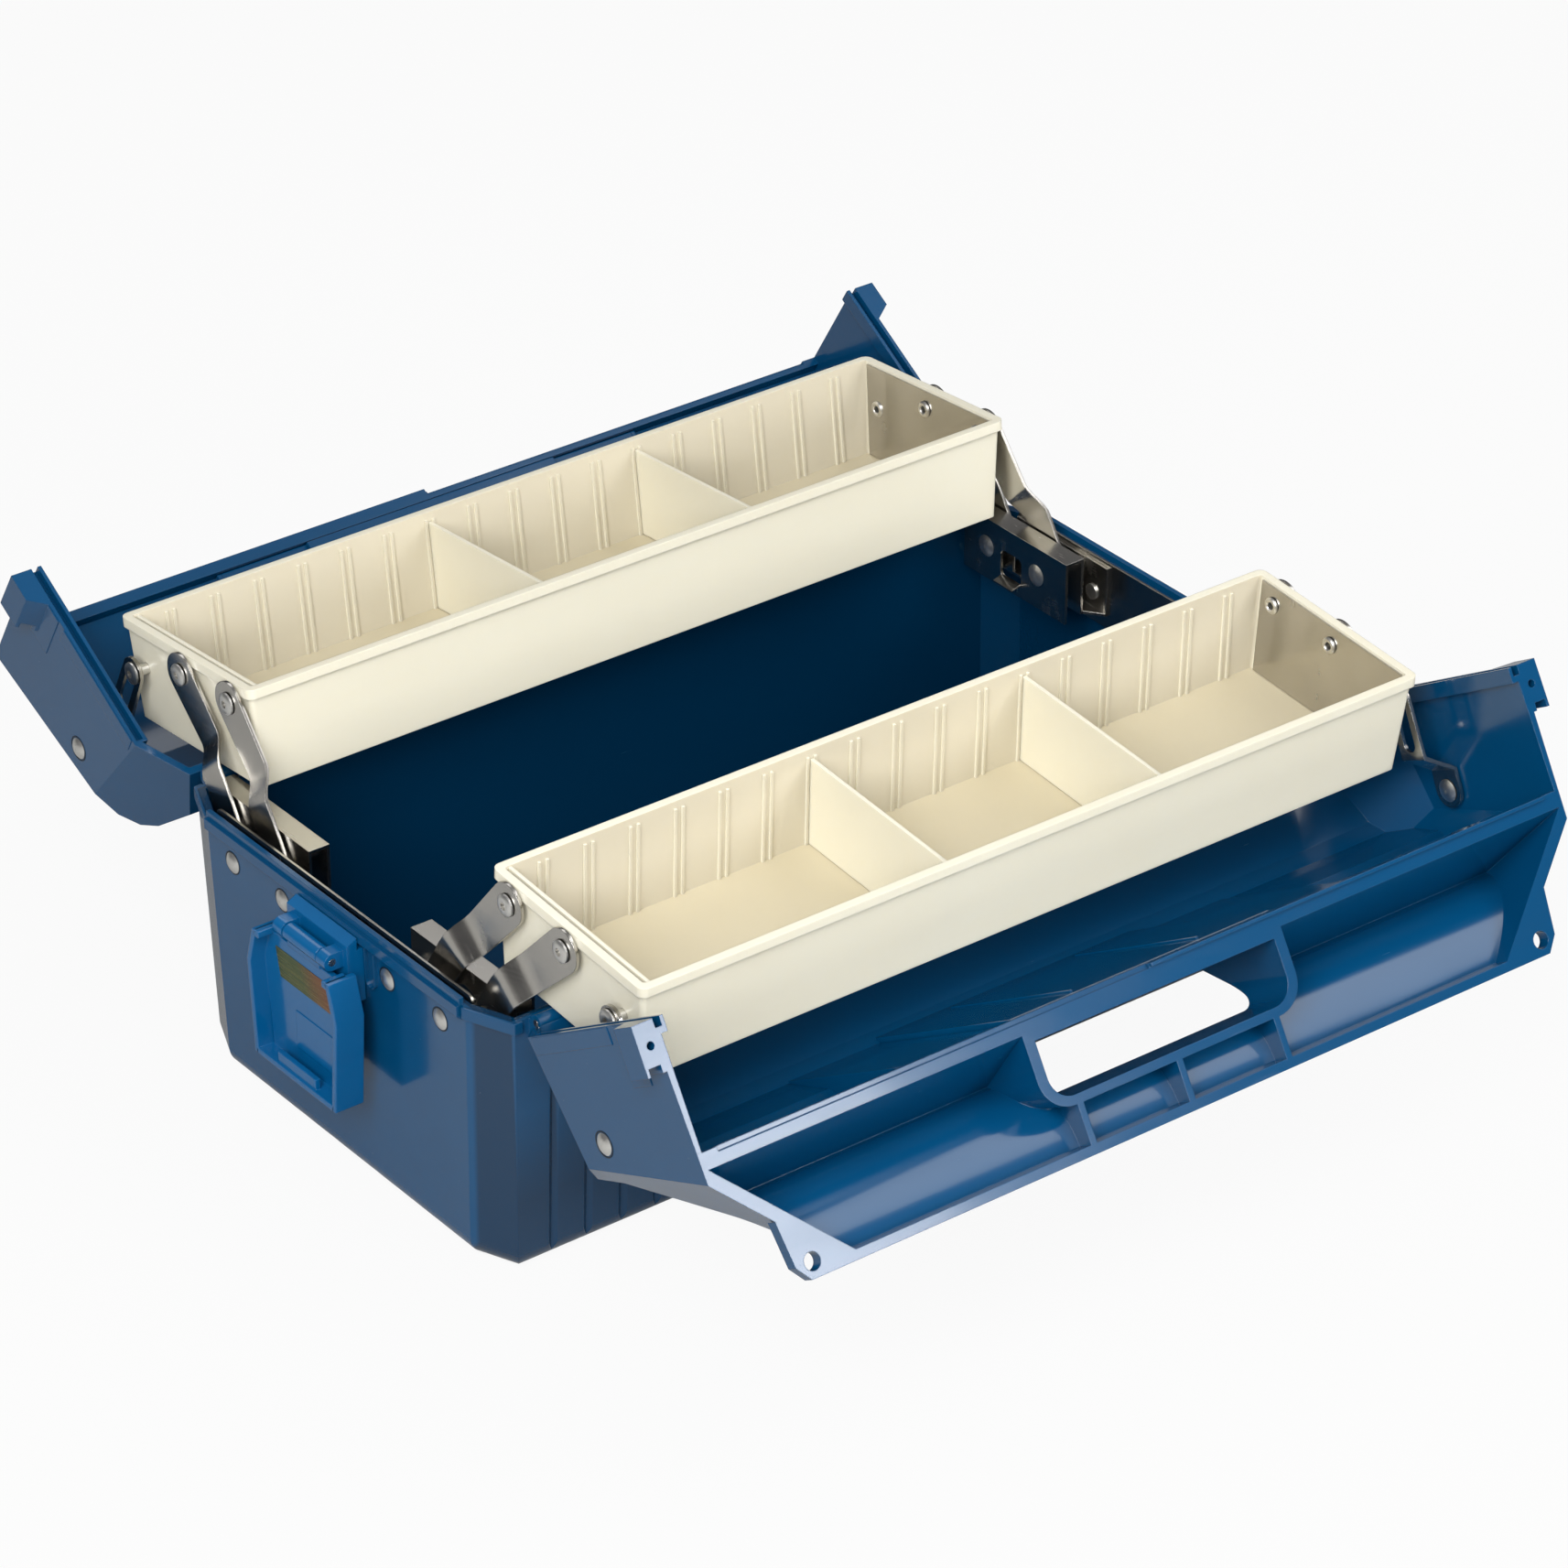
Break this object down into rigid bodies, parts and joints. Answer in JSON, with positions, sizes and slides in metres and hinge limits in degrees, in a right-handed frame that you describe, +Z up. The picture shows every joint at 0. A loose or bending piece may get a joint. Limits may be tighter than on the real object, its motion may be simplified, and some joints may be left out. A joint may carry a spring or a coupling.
{
  "type": "tool box",
  "caption": "two-way hinged plastic tool box whose lids swing out and carry two divided trays on steel arms, with an end latch at each side and a split carrying grip",
  "frame": {"origin": "middle of the underside, on the surface the box stands on", "axes": "+X along the box to the right end, +Y across to the back lid, +Z up; box open"},
  "size_m": [0.433, 0.5062, 0.166],
  "materials": {
    "blue_plastic": "glossy injection moulding",
    "latch_plastic": "glossy injection moulding",
    "ivory_plastic": "smooth injection moulding",
    "stainless": "bright rolled sheet",
    "rivet_metal": "satin domed heads",
    "foil": "plain reflective foil"
  },
  "bodies": {
    "body": {"body_shell": "blue_plastic", "end_plate_left": "stainless", "end_plate_right": "stainless", "body_rivets": "rivet_metal", "pivot_rivets": "rivet_metal", "hinge_pin_front": "stainless", "hinge_pin_back": "stainless", "latch_base_left": "latch_plastic", "latch_base_right": "latch_plastic", "latch_pin_left": "stainless", "latch_pin_right": "stainless", "arm_bracket_left_front": "stainless", "arm_bracket_left_back": "stainless", "arm_bracket_right_front": "stainless", "arm_bracket_right_back": "stainless"},
    "front_lid": {"lid_front": "blue_plastic", "lid_rivets_front": "rivet_metal"},
    "front_outer_arms": {"outer_arm_left_front": "stainless", "outer_arm_right_front": "stainless"},
    "front_inner_arms": {"inner_arm_left_front": "stainless", "inner_arm_right_front": "stainless"},
    "front_tray": {"tray_front": "ivory_plastic", "tray_rivets_front": "rivet_metal", "tray_end_plate_left_front": "stainless", "tray_end_plate_right_front": "stainless"},
    "front_links": {"lid_link_left_front": "stainless", "lid_link_right_front": "stainless"},
    "front_left_divider": {"divider_front_left": "ivory_plastic"},
    "front_right_divider": {"divider_front_right": "ivory_plastic"},
    "back_lid": {"lid_back": "blue_plastic", "lid_rivets_back": "rivet_metal"},
    "back_outer_arms": {"outer_arm_left_back": "stainless", "outer_arm_right_back": "stainless"},
    "back_inner_arms": {"inner_arm_left_back": "stainless", "inner_arm_right_back": "stainless"},
    "back_tray": {"tray_back": "ivory_plastic", "tray_rivets_back": "rivet_metal", "tray_end_plate_left_back": "stainless", "tray_end_plate_right_back": "stainless"},
    "back_links": {"lid_link_left_back": "stainless", "lid_link_right_back": "stainless"},
    "back_left_divider": {"divider_back_left": "ivory_plastic"},
    "back_right_divider": {"divider_back_right": "ivory_plastic"},
    "left_latch": {"latch_lever_left": "latch_plastic", "latch_foil_left": "foil"},
    "right_latch": {"latch_lever_right": "latch_plastic", "latch_foil_right": "foil"}
  },
  "joints": [
    {"name": "front_lid_hinge", "type": "hinge", "parent": "body", "child": "front_lid", "pos_m": [0, -0.1072, 0.1108], "axis": [1, 0, 0], "range_deg": [-148.5, 0]},
    {"name": "front_outer_arm_pivot", "type": "hinge", "parent": "body", "child": "front_outer_arms", "pos_m": [0, -0.083, 0.1025], "axis": [1, 0, 0], "range_deg": [-77.69, 0]},
    {"name": "front_inner_arm_pivot", "type": "hinge", "parent": "body", "child": "front_inner_arms", "pos_m": [0, -0.0515, 0.1025], "axis": [1, 0, 0], "range_deg": [-76.25, 0]},
    {"name": "front_tray_pivot", "type": "hinge", "parent": "front_outer_arms", "child": "front_tray", "pos_m": [0, -0.1227, 0.1484], "axis": [1, 0, 0], "range_deg": [0, 73.2]},
    {"name": "front_link_pivot", "type": "hinge", "parent": "front_lid", "child": "front_links", "pos_m": [0, -0.17083, 0.10018], "axis": [1, 0, 0], "range_deg": [-62.6, 0]},
    {"name": "front_left_divider_slide", "type": "slide", "parent": "front_tray", "child": "front_left_divider", "axis": [0, -0.0785, 0.9969], "range_m": [0, 0.038]},
    {"name": "front_right_divider_slide", "type": "slide", "parent": "front_tray", "child": "front_right_divider", "axis": [0, -0.0785, 0.9969], "range_m": [0, 0.038]},
    {"name": "back_lid_hinge", "type": "hinge", "parent": "body", "child": "back_lid", "pos_m": [0, 0.1072, 0.1108], "axis": [-1, 0, 0], "range_deg": [-148.5, 0]},
    {"name": "back_outer_arm_pivot", "type": "hinge", "parent": "body", "child": "back_outer_arms", "pos_m": [0, 0.083, 0.1025], "axis": [-1, 0, 0], "range_deg": [-77.69, 0]},
    {"name": "back_inner_arm_pivot", "type": "hinge", "parent": "body", "child": "back_inner_arms", "pos_m": [0, 0.0515, 0.1025], "axis": [-1, 0, 0], "range_deg": [-76.25, 0]},
    {"name": "back_tray_pivot", "type": "hinge", "parent": "back_outer_arms", "child": "back_tray", "pos_m": [0, 0.1227, 0.1484], "axis": [-1, 0, 0], "range_deg": [0, 73.2]},
    {"name": "back_link_pivot", "type": "hinge", "parent": "back_lid", "child": "back_links", "pos_m": [0, 0.17083, 0.10018], "axis": [-1, 0, 0], "range_deg": [-62.6, 0]},
    {"name": "back_left_divider_slide", "type": "slide", "parent": "back_tray", "child": "back_left_divider", "axis": [0, 0.0785, 0.9969], "range_m": [0, 0.038]},
    {"name": "back_right_divider_slide", "type": "slide", "parent": "back_tray", "child": "back_right_divider", "axis": [0, 0.0785, 0.9969], "range_m": [0, 0.038]},
    {"name": "left_latch_pivot", "type": "hinge", "parent": "body", "child": "left_latch", "pos_m": [-0.209, 0, 0.101], "axis": [0, -1, 0], "range_deg": [-180, 0]},
    {"name": "right_latch_pivot", "type": "hinge", "parent": "body", "child": "right_latch", "pos_m": [0.209, 0, 0.101], "axis": [0, 1, 0], "range_deg": [-180, 0]}
  ],
  "couplings": [
    {"joint": "front_outer_arm_pivot", "follows": "front_lid_hinge", "ratio": 0.52313},
    {"joint": "front_inner_arm_pivot", "follows": "front_lid_hinge", "ratio": 0.51341},
    {"joint": "front_tray_pivot", "follows": "front_lid_hinge", "ratio": -0.49284},
    {"joint": "front_link_pivot", "follows": "front_lid_hinge", "ratio": 0.42146},
    {"joint": "back_outer_arm_pivot", "follows": "back_lid_hinge", "ratio": 0.52313},
    {"joint": "back_inner_arm_pivot", "follows": "back_lid_hinge", "ratio": 0.51341},
    {"joint": "back_tray_pivot", "follows": "back_lid_hinge", "ratio": -0.49284},
    {"joint": "back_link_pivot", "follows": "back_lid_hinge", "ratio": 0.42146}
  ]
}
